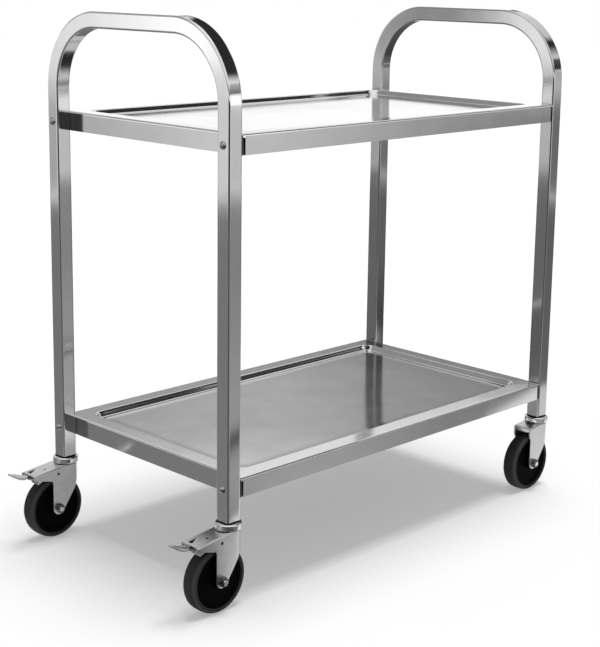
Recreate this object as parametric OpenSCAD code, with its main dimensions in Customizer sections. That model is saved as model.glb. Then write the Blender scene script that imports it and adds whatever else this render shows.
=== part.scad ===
// Two-shelf instrument cart: two bent-tube end frames, two pressed pans and four swivel casters.
// +X runs along the cart, +Y to its back and +Z up. The floor is at Z = 0.

/* [Cart] */
// Length over the two end frames
cart_length = 765; // [600:5:1000]
// Depth over the legs
cart_depth = 415; // [360:5:600]
// Height from the floor to the top of the handles
cart_height = 838; // [820:1:1000]

/* [End frames] */
// Outside size of the square tube
tube_size = 25; // [24:1:30]
// Wall of the square tube
tube_wall = 1.2; // [0.8:0.1:2]
// Outside radius of the tube's corners
tube_corner = 3; // [2:0.5:5]
// Bend radius of the handle at the tube's centre line
bend_radius = 105; // [60:1:120]

/* [Shelves] */
// Height of the upper rim above the floor
upper_height = 683; // [500:1:690]
// Height of the lower rim above the floor
lower_height = 193; // [185:1:300]
// Height of the folded aprons
apron_height = 29.5; // [26:0.5:36]
// Thickness of the sheet
sheet = 1.2; // [0.8:0.1:1.8]
// Outside radius of the fold between rim and apron
fold_radius = 2.5; // [2:0.5:4]
// Width of the flat rim round the recess
rim_width = 27; // [20:1:60]
// Depth of the recess
recess_depth = 8; // [5:0.5:12]
// Radius of the recess walls at the corners, seen from above
recess_corner = 16; // [10:1:40]
// Radius of the rounded edges of the step, on the upper face
step_radius = 4; // [2:0.5:6]
// Width of the gap between the end of a long apron and the leg
corner_gap = 3; // [2:0.5:5]
// Extra width of the relief notch above that gap
notch_width = 4; // [2:0.5:6]

/* [Shelf bolts] */
// Diameter of the bolts
bolt_d = 6; // [5:0.5:8]
// Diameter of the domed heads
bolt_head_d = 12; // [10:0.5:15]
// Height of the domed heads
bolt_head_h = 4; // [3:0.5:6]
// Nut size across the flats
nut_flats = 10; // [8:0.5:13]
// Height of the nuts
nut_h = 5; // [4:0.5:6]
// Length of thread past the nuts
bolt_end = 2; // [1:0.5:4]

/* [Leg plugs] */
// Thickness of the flange under the tube
plug_flange = 2; // [1.5:0.5:4]
// Depth of the plug in the tube
plug_depth = 32; // [30:1:40]

/* [Swivels] */
// Diameter of the king pin
stem_d = 10; // [8:0.5:12]
// Diameter of the swivel cup
cup_d = 40; // [38:1:48]
// Height of the swivel cup
cup_h = 9.4; // [8:0.2:12]
// Radius of the cup's rounded upper edge
cup_edge = 2.5; // [1:0.5:3.5]
// Number of bearing balls under the cup
ball_count = 12; // [8:1:14]
// Diameter of the bearing balls
ball_d = 4; // [3:0.5:5]
// Radius of the ring of balls
ball_ring = 14; // [13:0.5:15]
// Diameter of the riveted lower end of the king pin
rivet_d = 18; // [15:1:22]
// Height of the riveted lower end
rivet_h = 3; // [2:0.5:4]

/* [Forks] */
// Distance from the swivel axis back to the axle
trail = 27; // [24:1:32]
// Height of the fork's top above the tyre
crown = 19; // [17:0.5:24]
// Thickness of the pressed plate
plate = 2.5; // [2:0.5:3]
// Room between the tyre and each cheek
cheek_room = 2; // [1:0.25:3]
// Radius of the rounded end round the axle
fork_end = 10.5; // [9:0.5:13]
// Reach of a braked fork's tail behind the swivel axis
tail_reach = 73; // [66:1:80]
// Drop of that tail below the fork's top
tail_drop = 6.5; // [5:0.5:8]
// Height of the cheek at the end of the tail
tail_edge = 6.5; // [5:0.5:8]
// Height of the cheek's front knee above the axle
knee_height = 32; // [26:1:38]
// Distance of that knee behind the front of the hood
knee_inset = 10; // [6:1:14]
// Height of the hood's lower front edge above the axle
lip_height = 53; // [50:1:58]
// Height above the axle of the corner between cheek and tail
crook_height = 43; // [40:1:46]
// Radius of that corner
crook_radius = 5; // [3:0.5:8]
// Distance of the small hole behind the swivel axis
dot_reach = 44; // [40:1:48]
// Distance of the small hole from the middle of the tail
dot_offset = 4; // [0:0.5:6]
// Diameter of the small hole
dot_d = 4; // [3:0.5:5]
// Length of the three-cornered slot in a braked fork's tail
slot_length = 16; // [10:1:18]
// Width of that slot
slot_width = 9; // [6:1:12]
// Distance of that slot from the end of the tail
slot_inset = 5; // [4:1:10]

/* [Wheels] */
// Diameter over the tyre
wheel_d = 100; // [94:1:106]
// Width of the tyre
tyre_width = 26; // [22:1:32]
// Thickness of the tyre
tyre_depth = 8; // [6:0.5:12]
// Radius of the tyre's shoulders
tyre_shoulder = 6; // [3:0.5:7]
// Depth of the core's face behind the tyre's side
core_recess = 3; // [1:0.5:5]
// Diameter of the hub
hub_d = 24; // [20:1:30]
// Diameter of the axle bolt
axle_d = 8; // [6:0.5:9]
// Outside diameter of the axle sleeve
sleeve_d = 12; // [11:0.5:14]
// Axle nut and head across the flats
axle_flats = 13; // [11:0.5:15]
// Height of the axle nut
axle_nut_h = 6.5; // [4:0.5:8]
// Length of thread past the axle nut
axle_end = 2; // [1:0.5:3]

/* [Brakes] */
// Reach of the pedal's tip behind the swivel axis
pedal_reach = 110; // [104:1:120]
// Rise of the pedal's tip above its pin
pedal_rise = 14.5; // [13:0.5:17]
// Slope of the foot plate, up to its tip
pedal_slope = 18; // [14:1:20]
// Thickness of the pedal
pedal_plate = 2.5; // [2:0.25:3]
// Width of the leaf-shaped foot plate
pedal_width = 25; // [20:1:26]
// Height of the foot plate's crown above its side edges
pedal_crown = 5; // [3:0.5:7]
// Length of the foot plate
pedal_length = 38; // [34:1:38]
// Width of the neck between arm and foot plate
neck_width = 12; // [8:1:14]
// Reach of the neck past the end of the arm
neck_reach = 5; // [3:0.5:7]
// Width of the arm inside the fork
pedal_arm = 18; // [14:1:22]
// Length of the arm past the end of the tail
arm_past = 3; // [1:0.5:5]
// Drop of the arm from its pin to its end
arm_drop = 0.5; // [0.25:0.25:1]
// Distance of the brake shoe's middle behind the pin
shoe_reach = 27; // [24:1:30]
// Length of the brake shoe
shoe_length = 14; // [10:1:16]
// Diameter of the pedal's pin
pin_d = 4.5; // [4:0.25:5]
// Height of the pin above the tyre
pin_lift = 7; // [5.5:0.25:8]
// Depth of the pin's ends behind the cheeks' outer faces
pin_inset = 1; // [0.5:0.25:2]
// Wall of the pedal's knuckle round the pin
knuckle_wall = 2.2; // [1.5:0.1:2.5]
// Angle that the pedal is pressed down through
pedal_travel = 8; // [5:0.5:8]
// Thickness of the leaf spring
spring_plate = 0.8; // [0.5:0.1:1]
// Width of the leaf spring
spring_width = 12; // [8:1:18]
// Length of the leaf spring
spring_length = 24; // [18:1:28]
// Distance of the spring from the end of the tail
spring_inset = 2; // [1:0.5:4]

/* [Hidden] */
$fn = 96;
// Clearance round bolts and plugs that do not turn
slip = 0.1;
// Radial clearance of shafts that turn
run_fit = 0.05;
// Air between pieces that move past each other
air = 0.3;
// Length by which a cutting shape runs past the face that it cuts
past = 1;

// Heights of the casters
axle_z = wheel_d / 2;
fork_top = wheel_d + crown;
cup_bottom = fork_top + air;
cup_top = cup_bottom + cup_h;
leg_bottom = cup_top + plug_flange;

// Side view and cross-section of a caster
fork_inside = tyre_width + 2 * cheek_room;
fork_outside = fork_inside + 2 * plate;
axle_out = axle_nut_h + axle_end;
cheek_back = -trail - fork_end;
short_tail = cheek_back - plate;
slope_start = -rivet_d / 2 - past;
pin_z = wheel_d + pin_lift;
knuckle_r = pin_d / 2 + knuckle_wall;
arm_end = -tail_reach - arm_past;
arm_end_z = pin_z - arm_drop;
pedal_tip = [-pedal_reach, pin_z + pedal_rise];

// The cart is placed so that the box round all of it is centred on the origin
pedal_end = pedal_reach + pedal_plate / 2 * sin(pedal_slope);
reach_left = max(pedal_end - tube_size / 2, bolt_head_h);
reach_right = max(max(cup_d, fork_outside, wheel_d - 2 * trail) / 2 - tube_size / 2, bolt_head_h);
centre_x = (reach_left - reach_right) / 2;
leg_x = cart_length / 2 - tube_size / 2;
leg_y = cart_depth / 2 - tube_size / 2;

// Sizes of a shelf
shelf_length = cart_length - 2 * tube_size;
shelf_depth = cart_depth;
step_r = min(step_radius, recess_depth / 2);
bolt_drop = apron_height / 2;
shelf_heights = [upper_height, lower_height];
bolt_length = tube_size + sheet + nut_h + bolt_end;

// Corners: name, end of the cart in X, side in Y, and whether the caster has a brake
corners = [
    ["front_left", -1, -1, true],
    ["rear_left", -1, 1, true],
    ["front_right", 1, -1, false],
    ["rear_right", 1, 1, false]
];
caster_pieces = ["leg_plug", "king_pin", "swivel_cup", "swivel_balls", "fork", "axle_bolt", "axle_nut",
                 "axle_sleeve", "wheel_core", "tyre"];
brake_pieces = ["brake_pedal", "pedal_pin", "brake_spring"];

// Square with rounded corners, centred
module rounded_square(size, r) {
    square([size, size - 2 * r], center = true);
    square([size - 2 * r, size], center = true);
    for (x = [-1, 1], y = [-1, 1])
        translate([x * (size / 2 - r), y * (size / 2 - r)]) circle(r);
}

// Rectangle from the floor of its height up, with its two upper corners rounded
module arched(width, height, r) {
    translate([-width / 2, 0]) square([width, height - r]);
    translate([-width / 2 + r, 0]) square([width - 2 * r, height]);
    for (x = [-1, 1]) translate([x * (width / 2 - r), height - r]) circle(r);
}

// Put a profile drawn in X and Z along Y, centred
module along_y(depth) {
    translate([0, depth / 2, 0]) rotate([90, 0, 0]) linear_extrude(depth) children();
}

// Put a profile drawn in Y and Z along X, centred
module along_x(length) {
    translate([-length / 2, 0, 0]) rotate([90, 0, 90]) linear_extrude(length) children();
}

// Cylinder along Y, centred
module bar_y(r, length) {
    rotate([90, 0, 0]) cylinder(r = r, h = length, center = true);
}

// Hexagonal prism along Z, from its base up
module hexagon(flats, height) {
    cylinder(r = flats / 2 / cos(30), h = height, $fn = 6);
}

// Solid path of one end frame for a tube of the given size, with its lower ends open to the cuts
module frame_path(size, r, longer) {
    bend_y = leg_y - bend_radius;
    bend_z = cart_height - tube_size / 2 - bend_radius;
    for (s = [-1, 1]) {
        translate([0, s * leg_y, leg_bottom - longer])
            linear_extrude(bend_z - leg_bottom + longer) rounded_square(size, r);
        translate([0, s * bend_y, bend_z]) rotate([90, 0, s * 90])
            rotate_extrude(angle = 90) translate([bend_radius, 0]) rounded_square(size, r);
    }
    translate([0, bend_y, bend_z + bend_radius]) rotate([90, 0, 0])
        linear_extrude(2 * bend_y) rounded_square(size, r);
}

// One bent tube with its two legs, its handle and the holes for the shelf bolts
module end_frame(side) {
    translate([centre_x + side * leg_x, 0, 0]) difference() {
        frame_path(tube_size, tube_corner, 0);
        frame_path(tube_size - 2 * tube_wall, max(tube_corner - tube_wall, 0.5), past);
        for (y = [-1, 1], z = shelf_heights)
            translate([0, y * leg_y, z - bolt_drop]) rotate([0, 90, 0])
                cylinder(d = bolt_d + 2 * slip, h = tube_size + 2 * past, center = true);
    }
}
module left_end_frame() { color("silver") end_frame(-1); }
module right_end_frame() { color("silver") end_frame(1); }

// Half profile of the recess: wall radius, floor depth, lower and upper edge radius, seen from a rim at height 0
module recess_profile(wall, depth, lower_r, upper_r, above) {
    translate([0, -depth + lower_r]) square([wall, depth - lower_r + above]);
    translate([0, -depth]) square([wall - lower_r, depth + above]);
    translate([wall - lower_r, -depth + lower_r]) circle(lower_r);
    difference() {
        translate([wall, -upper_r]) square([upper_r, upper_r + above]);
        translate([wall + upper_r, -upper_r]) circle(upper_r);
    }
}

// Recess with rounded corners: four turned corners and two straight runs between them
module recess(grow, above) {
    wall = recess_corner + grow;
    depth = recess_depth + grow;
    lower_r = step_r + grow;
    upper_r = step_r - grow;
    half_x = shelf_length / 2 - rim_width - step_r - recess_corner;
    half_y = shelf_depth / 2 - rim_width - step_r - recess_corner;
    translate([0, 0, -grow]) {
        for (x = [-1, 1], y = [-1, 1])
            translate([x * half_x, y * half_y, 0]) rotate_extrude()
                intersection() {
                    recess_profile(wall, depth - grow, lower_r, upper_r, above);
                    translate([0, -depth]) square([wall + upper_r, depth + above]);
                }
        along_y(2 * half_y) for (s = [0, 1]) mirror([s, 0])
            union() {
                translate([half_x, 0]) recess_profile(wall, depth - grow, lower_r, upper_r, above);
                translate([0, -depth + grow]) square([half_x, depth - grow + above]);
            }
        along_x(2 * half_x) for (s = [0, 1]) mirror([s, 0])
            union() {
                translate([half_y, 0]) recess_profile(wall, depth - grow, lower_r, upper_r, above);
                translate([0, -depth + grow]) square([half_y, depth - grow + above]);
            }
    }
}

// Block of a shelf's outside, or of its hollow underside with the sheet taken off
module shelf_block(inset, height, r) {
    intersection() {
        along_y(shelf_depth + past) arched(shelf_length - 2 * inset, height, r);
        along_x(shelf_length + past) arched(shelf_depth - 2 * inset, height, r);
    }
}

// Gap and relief notch at the end of a long apron, drawn in X from the leg and Z from the rim
module corner_relief() {
    low = -apron_height - past;
    notch_top = -fold_radius - sheet;
    polygon([[-past, low], [corner_gap, low], [corner_gap, notch_top - notch_width],
             [corner_gap + notch_width, notch_top], [-past, notch_top]]);
}

// One pressed pan with its rim at height 0
module shelf() {
    difference() {
        translate([0, 0, -apron_height]) shelf_block(0, apron_height, fold_radius);
        recess(0, past);
        difference() {
            translate([0, 0, -apron_height - past])
                shelf_block(sheet, apron_height + past - sheet, fold_radius - sheet);
            recess(sheet, past);
        }
        for (y = [-1, 1], s = [0, 1])
            mirror([s, 0, 0]) translate([-shelf_length / 2, y * (shelf_depth - sheet) / 2, 0])
                along_y(sheet + 2 * slip) corner_relief();
        for (y = [-1, 1])
            translate([0, y * leg_y, -bolt_drop]) rotate([0, 90, 0])
                cylinder(d = bolt_d + 2 * slip, h = shelf_length + past, center = true);
    }
}
module upper_shelf() { color("gainsboro") translate([centre_x, 0, upper_height]) shelf(); }
module lower_shelf() { color("gainsboro") translate([centre_x, 0, lower_height]) shelf(); }

// Places of a shelf's four bolts, each turned so that +Z points out through the leg
module at_shelf_bolts(height) {
    for (x = [-1, 1], y = [-1, 1])
        translate([centre_x + x * cart_length / 2, y * leg_y, height - bolt_drop]) rotate([0, x * 90, 0])
            children();
}

// Domed bolt: a cap of a sphere on a plain shank
module shelf_bolt() {
    dome_r = (bolt_head_d * bolt_head_d / 4 + bolt_head_h * bolt_head_h) / (2 * bolt_head_h);
    translate([0, 0, -bolt_length]) cylinder(d = bolt_d, h = bolt_length);
    intersection() {
        translate([0, 0, bolt_head_h - dome_r]) sphere(dome_r);
        cylinder(d = bolt_head_d + past, h = bolt_head_h + past);
    }
}
module upper_shelf_bolts() { color("silver") at_shelf_bolts(upper_height) shelf_bolt(); }
module lower_shelf_bolts() { color("silver") at_shelf_bolts(lower_height) shelf_bolt(); }

// Hexagon nut against the inside of the short apron
module shelf_nut() {
    translate([0, 0, -tube_size - sheet - nut_h]) difference() {
        hexagon(nut_flats, nut_h);
        translate([0, 0, -past]) cylinder(d = bolt_d, h = nut_h + 2 * past);
    }
}
module upper_shelf_nuts() { color("gray") at_shelf_bolts(upper_height) shelf_nut(); }
module lower_shelf_nuts() { color("gray") at_shelf_bolts(lower_height) shelf_nut(); }

// Place of a caster: its swivel axis stands under the middle of a leg
module at_leg(corner) {
    translate([centre_x + corner[1] * leg_x, corner[2] * leg_y, 0]) children();
}

// Black plug: a square body in the tube and a flange under its end
module leg_plug() {
    inside = tube_size - 2 * tube_wall - 2 * slip;
    color("black") difference() {
        union() {
            translate([0, 0, leg_bottom]) linear_extrude(plug_depth)
                rounded_square(inside, max(tube_corner - tube_wall, 0.5));
            translate([0, 0, cup_top]) linear_extrude(plug_flange) rounded_square(tube_size, tube_corner);
        }
        translate([0, 0, cup_top - past])
            cylinder(d = stem_d + 2 * slip, h = plug_flange + plug_depth + 2 * past);
    }
}

// King pin from inside the plug down through the cup and the fork, with a riveted lower end
module king_pin() {
    rivet_top = fork_top - plate - air;
    color("gray") {
        translate([0, 0, rivet_top]) cylinder(d = stem_d, h = leg_bottom + plug_depth - rivet_top);
        translate([0, 0, rivet_top - rivet_h]) cylinder(d = rivet_d, h = rivet_h);
    }
}

// Round cup with a groove for the balls in its underside
module swivel_cup() {
    groove = ball_d + 2 * run_fit - air;
    color("silver") translate([0, 0, cup_bottom]) difference() {
        union() {
            cylinder(d = cup_d, h = cup_h - cup_edge);
            cylinder(d = cup_d - 2 * cup_edge, h = cup_h);
            translate([0, 0, cup_h - cup_edge]) rotate_extrude()
                translate([cup_d / 2 - cup_edge, 0]) intersection() {
                    circle(cup_edge);
                    square(cup_edge);
                }
        }
        translate([0, 0, -past]) cylinder(d = stem_d + 2 * slip, h = cup_h + 2 * past);
        difference() {
            translate([0, 0, -past]) cylinder(r = ball_ring + ball_d / 2 + air, h = groove + past);
            translate([0, 0, -2 * past]) cylinder(r = ball_ring - ball_d / 2 - air, h = groove + 3 * past);
        }
    }
}

// Ring of balls between the fork's top and the cup
module swivel_balls() {
    color("gray") for (i = [0:ball_count - 1]) rotate([0, 0, i * 360 / ball_count])
        translate([ball_ring, 0, fork_top + run_fit + ball_d / 2]) sphere(d = ball_d);
}

// Upper line of the fork's side view, lowered by the given depth, closed far below
module fork_crest(lower, tail, drop) {
    slope = drop / (tail + slope_start);
    tail_x = -tail - past;
    front = fork_outside / 2 + past;
    top = fork_top - lower;
    polygon([[front, 0], [front, top], [slope_start, top],
             [tail_x, top - slope * (-tail_x + slope_start)], [tail_x, 0]]);
}

// Side view of the fork's cheeks: the tail, the leg down to the axle and the front edge
module fork_side(tail, drop) {
    front = fork_outside / 2;
    knee = [front - knee_inset, axle_z + knee_height];
    shin = [front - 0.4 * knee_inset, axle_z + (knee_height + 2 * lip_height) / 3];
    crook = [cheek_back - crook_radius, axle_z + crook_height];
    run = knee - [-trail, axle_z];
    touch = atan2(run[1], run[0]) - acos(fork_end / norm(run));
    difference() {
        union() {
            polygon([[-tail, fork_top], [-tail, fork_top - drop - tail_edge], crook + [0, crook_radius],
                     crook + [crook_radius, 0], [cheek_back, axle_z], [-trail, axle_z],
                     [-trail + fork_end * cos(touch), axle_z + fork_end * sin(touch)], knee, shin,
                     [front + past, axle_z + lip_height], [front + past, fork_top]]);
            translate([-trail, axle_z]) circle(fork_end);
        }
        translate(crook) circle(crook_radius);
    }
}

// Pressed fork: a hooded channel with a round front, cut to its side view
module fork(tail, drop, braked) {
    color("lightgray") difference() {
        intersection() {
            union() {
                cylinder(d = fork_outside, h = fork_top + past);
                translate([-tail, -fork_outside / 2, 0]) cube([tail, fork_outside, fork_top + past]);
            }
            along_y(fork_outside + past) intersection() {
                fork_side(tail, drop);
                fork_crest(0, tail, drop);
            }
        }
        intersection() {
            union() {
                cylinder(d = fork_inside, h = fork_top);
                translate([-tail - past, -fork_inside / 2, 0]) cube([tail + past, fork_inside, fork_top]);
            }
            along_y(fork_outside) fork_crest(plate, tail, drop);
        }
        translate([0, 0, fork_top - plate - past]) cylinder(d = stem_d + 2 * run_fit, h = plate + 2 * past);
        translate([-trail, 0, axle_z]) bar_y(axle_d / 2 + slip, fork_outside + past);
        if (braked) {
            translate([-trail, 0, pin_z]) bar_y(pin_d / 2 + slip, fork_outside + past);
            translate([-dot_reach, -dot_offset, axle_z]) cylinder(d = dot_d, h = fork_top);
            translate([slot_inset - tail_reach, 0, axle_z]) linear_extrude(fork_top)
                polygon([[0, 0], [0, slot_width], [slot_length, slot_width]]);
        }
    }
}

// Axle bolt along Y: its head at the back, its thread end past the nut at the front
module axle_bolt() {
    color("silver") translate([-trail, 0, axle_z]) rotate([90, 0, 0]) {
        translate([0, 0, -fork_outside / 2]) cylinder(d = axle_d, h = fork_outside + axle_out);
        translate([0, 0, -fork_outside / 2 - axle_out]) hexagon(axle_flats, axle_out);
    }
}

// Nut on the front cheek
module axle_nut() {
    color("silver") translate([-trail, -fork_outside / 2, axle_z]) rotate([90, 0, 0]) difference() {
        hexagon(axle_flats, axle_nut_h);
        translate([0, 0, -past]) cylinder(d = axle_d, h = axle_nut_h + 2 * past);
    }
}

// Sleeve clamped between the cheeks, which the wheel turns on
module axle_sleeve() {
    color("gray") translate([-trail, 0, axle_z]) difference() {
        bar_y(sleeve_d / 2, fork_inside);
        bar_y(axle_d / 2 + slip, fork_inside + past);
    }
}

// Plastic core: a disc set back behind the tyre's sides, and a hub that reaches almost to the cheeks
module wheel_core() {
    core_d = wheel_d - 2 * tyre_depth;
    color("black") translate([-trail, 0, axle_z]) difference() {
        union() {
            bar_y(core_d / 2, tyre_width - 2 * core_recess);
            bar_y(hub_d / 2, fork_inside - 2 * air);
        }
        bar_y(sleeve_d / 2 + run_fit, fork_inside + past);
    }
}

// Tyre with rounded shoulders, turned round the axle
module tyre() {
    outer = wheel_d / 2;
    inner = outer - tyre_depth;
    half = tyre_width / 2;
    color("dimgray") translate([-trail, 0, axle_z]) rotate([90, 0, 0]) rotate_extrude() {
        translate([inner, -half]) square([tyre_depth - tyre_shoulder, tyre_width]);
        translate([inner, -half + tyre_shoulder]) square([tyre_depth, tyre_width - 2 * tyre_shoulder]);
        for (s = [-1, 1])
            translate([outer - tyre_shoulder, s * (half - tyre_shoulder)]) intersection() {
                circle(tyre_shoulder);
                translate([-past, -tyre_shoulder]) square([tyre_shoulder + past, 2 * tyre_shoulder]);
            }
    }
}

// Leaf-shaped foot plate, crowned across, from its tip along +X
module foot_plate() {
    half = pedal_width / 2;
    arc_r = (pedal_length * pedal_length / 4 + half * half) / (2 * half);
    crown_r = (half * half + pedal_crown * pedal_crown) / (2 * pedal_crown);
    translate([pedal_length / 2, 0, 0]) intersection() {
        translate([0, arc_r - half, -2 * pedal_crown]) cylinder(r = arc_r, h = 3 * pedal_crown);
        translate([0, half - arc_r, -2 * pedal_crown]) cylinder(r = arc_r, h = 3 * pedal_crown);
        translate([0, 0, pedal_plate / 2 - crown_r]) rotate([0, 90, 0]) difference() {
            cylinder(r = crown_r, h = pedal_length, center = true);
            cylinder(r = crown_r - pedal_plate, h = pedal_length + past, center = true);
        }
        translate([-pedal_length / 2, -half, -2 * pedal_crown])
            cube([pedal_length, pedal_width, 3 * pedal_crown]);
    }
}

// Flat brake shoe under the arm, which lies along the tyre when the pedal is pressed down
module brake_shoe() {
    slope = arm_drop / (-trail - arm_end);
    ends = [shoe_reach + shoe_length / 2, shoe_reach - shoe_length / 2];
    clear_r = wheel_d / 2 + air;
    intersection() {
        translate([-trail, 0, pin_z]) rotate([0, pedal_travel, 0]) translate([0, 0, axle_z - pin_z])
            rotate([0, -asin(shoe_reach / clear_r), 0]) translate([-clear_r, -pedal_arm / 2, clear_r])
                cube([2 * clear_r, pedal_arm, clear_r]);
        along_y(pedal_arm) polygon([
            [-trail - ends[0], axle_z], [-trail - ends[0], pin_z - slope * ends[0]],
            [-trail - ends[1], pin_z - slope * ends[1]], [-trail - ends[1], axle_z]]);
    }
}

// Brake pedal: a knuckle on the pin, an arm under the tail, a shoe over the tyre, a neck and the foot plate
module brake_pedal() {
    half_plate = pedal_plate / 2;
    neck_x = arm_end - neck_reach;
    neck_z = pedal_tip[1] - (neck_x - pedal_tip[0]) * tan(pedal_slope) - half_plate;
    color("silver") difference() {
        union() {
            translate([-trail, 0, pin_z]) bar_y(knuckle_r, pedal_arm);
            along_y(pedal_arm) polygon([
                [-trail, pin_z - half_plate], [arm_end, arm_end_z - half_plate],
                [arm_end, arm_end_z + half_plate], [-trail, pin_z + half_plate]]);
            brake_shoe();
            along_y(neck_width) polygon([
                [arm_end + half_plate, arm_end_z - half_plate], [arm_end + half_plate, arm_end_z + half_plate],
                [neck_x + pedal_plate, neck_z], [neck_x, neck_z], [arm_end - half_plate, arm_end_z - half_plate]]);
            translate([pedal_tip[0], 0, pedal_tip[1]]) rotate([0, pedal_slope, 0]) foot_plate();
        }
        translate([-trail, 0, pin_z]) bar_y(pin_d / 2 + run_fit, pedal_arm + past);
    }
}

// Pin of the pedal, its ends set back in the cheeks
module pedal_pin() {
    color("gray") translate([-trail, 0, pin_z]) bar_y(pin_d / 2, fork_outside - 2 * pin_inset);
}

// Leaf spring under the sloping tail, above the pedal's arm
module brake_spring() {
    color("gray") along_y(spring_width) intersection() {
        difference() {
            fork_crest(plate, tail_reach, tail_drop);
            fork_crest(plate + spring_plate, tail_reach, tail_drop);
        }
        translate([spring_inset - tail_reach, 0]) square([spring_length, fork_top]);
    }
}

// One piece of a caster by its name
module caster_piece(piece, corner) {
    if (piece == "leg_plug") leg_plug();
    if (piece == "king_pin") king_pin();
    if (piece == "swivel_cup") swivel_cup();
    if (piece == "swivel_balls") swivel_balls();
    if (piece == "fork" && corner[3]) fork(tail_reach, tail_drop, true);
    if (piece == "fork" && !corner[3]) fork(-short_tail, tail_drop / 2, false);
    if (piece == "axle_bolt") axle_bolt();
    if (piece == "axle_nut") axle_nut();
    if (piece == "axle_sleeve") axle_sleeve();
    if (piece == "wheel_core") wheel_core();
    if (piece == "tyre") tyre();
    if (piece == "brake_pedal") brake_pedal();
    if (piece == "pedal_pin") pedal_pin();
    if (piece == "brake_spring") brake_spring();
}

left_end_frame();
right_end_frame();
upper_shelf();
lower_shelf();
upper_shelf_bolts();
lower_shelf_bolts();
upper_shelf_nuts();
lower_shelf_nuts();
for (c = corners, p = concat(caster_pieces, c[3] ? brake_pieces : []))
    at_leg(c) caster_piece(p, c);
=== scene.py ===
"""Two-shelf instrument cart of polished steel on four swivel casters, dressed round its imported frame.

All lengths are in metres. +X runs along the cart, +Y to its back and +Z up, with the floor at Z = 0.
"""
import math

import bmesh
import bpy
import numpy as np
from mathutils import Matrix, Vector


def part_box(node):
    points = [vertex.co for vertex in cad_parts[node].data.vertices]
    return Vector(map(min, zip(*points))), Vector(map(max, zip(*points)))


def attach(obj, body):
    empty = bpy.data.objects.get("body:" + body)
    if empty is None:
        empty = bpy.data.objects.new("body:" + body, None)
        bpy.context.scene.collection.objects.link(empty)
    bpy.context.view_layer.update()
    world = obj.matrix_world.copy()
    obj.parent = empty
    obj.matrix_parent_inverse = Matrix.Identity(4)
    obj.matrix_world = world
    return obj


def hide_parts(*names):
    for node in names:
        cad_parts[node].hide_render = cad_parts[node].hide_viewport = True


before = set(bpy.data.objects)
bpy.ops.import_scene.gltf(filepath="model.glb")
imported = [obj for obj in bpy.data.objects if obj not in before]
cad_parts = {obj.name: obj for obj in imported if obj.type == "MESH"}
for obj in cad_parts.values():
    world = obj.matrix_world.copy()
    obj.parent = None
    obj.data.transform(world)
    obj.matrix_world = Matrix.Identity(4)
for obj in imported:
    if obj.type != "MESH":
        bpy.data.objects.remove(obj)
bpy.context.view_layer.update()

MM = 0.001
CORNERS = ("front_left", "rear_left", "front_right", "rear_right")
SHELVES = ("upper", "lower")
CART = "cart_body"

# Square tube of the end frames; the two shares place lines beside its corners that keep its faces flat
TUBE_CORNER = 3 * MM
TUBE_WALL = 1.2 * MM
BEND_RADIUS = 105 * MM
FLAT_EDGES = (0.03, 0.97)

# Pressed sheet of the shelves; the hold lines run that far inside the rim's edges and keep it flat
SHEET = 1.2 * MM
FOLD = 2.5 * MM
RIM = 27 * MM
HOLD_LINE = 1 * MM
STEP = 4 * MM
RECESS = 8 * MM
RECESS_CORNER = 16 * MM
FLOOR_SAG = 1.2 * MM
FRONT_FALL = {"upper": 0.0, "lower": 1.2 * MM}
CORNER_GAP = 5 * MM
END_TAB = 9 * MM
NOTCH = 2 * MM

# Bolts and nuts
BOLT_SHANK = 3 * MM
BOLT_HEAD = 6 * MM
BOLT_DOME = 4 * MM
BOLT_END = 2 * MM
HEAD_EDGE = 0.5 * MM
THREAD_CHAMFER = 0.8 * MM
NUT_HEIGHT = 5 * MM
NUT_FLATS = 10 * MM
NUT_FACE = 0.95
NUT_CHAMFER = math.radians(30)
BORE_LIP = 0.5 * MM
AXLE_RADIUS = 4 * MM

# Leg plugs and swivel cups
PLUG_GAP = 0.2 * MM
PLUG_EASE = 0.4 * MM
PLUG_LEAD = 1 * MM
STEM_RADIUS = 5 * MM
CUP_EDGE = 2.5 * MM
CUP_HOLLOW = 4 * MM
CUP_WALL = 2 * MM
CUP_FOOT = 1.2 * MM
CUP_LIP = 0.5 * MM

# Forks; the knee and the shin are measured back from the front of the hood and up from the axle
FORK_PLATE = 2.5 * MM
FORK_BEND = 3 * MM
FORK_END = 10.5 * MM
FORK_END_START = math.radians(20)
FORK_EASE = 0.35 * MM
EASED_ANGLE = math.radians(50)
TRAIL = 27 * MM
SLOPE_START = 10 * MM
TAIL_EDGE = 6.5 * MM
TAIL_DROP = 6.5 * MM
CROOK_HEIGHT = 43 * MM
CROOK_RADIUS = 5 * MM
KNEE = (10 * MM, 32 * MM)
SHIN = (4 * MM, 46 * MM)
LIP_HEIGHT = 51.6 * MM
PIN_LIFT = 7 * MM
PIN_HOLE = 2.35 * MM
DOT_PLACE = (44 * MM, 4 * MM)
DOT_RADIUS = 2 * MM
SLOT_INSET = 5 * MM
SLOT_LENGTH = 16 * MM
SLOT_WIDTH = 9 * MM
CUT_PAST = 1 * MM
CUT_HEIGHT = 50 * MM

# Wheels
SLEEVE_RADIUS = 6 * MM
SLEEVE_GAP = 0.05 * MM
TYRE_DEPTH = 8 * MM
TYRE_SHOULDER = 6 * MM
TYRE_BAND = ((0, -1.2 * MM), (0.7 * MM, -0.6 * MM), (1 * MM, 0))
BAND_GAP = 0.3 * MM
TREAD_CROWN = 0.25 * MM
CORE_RECESS = 3 * MM
CORE_EASE = 0.6 * MM
HUB_RADIUS = 12 * MM
HUB_EASE = 0.8 * MM
BORE_EASE = 0.4 * MM
WEB_DEPTH = 1.4 * MM
WEB_FOOT = 1.2 * MM
WEB_RISE = 1.5 * MM
CORE_RIM = 5.5 * MM

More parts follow.
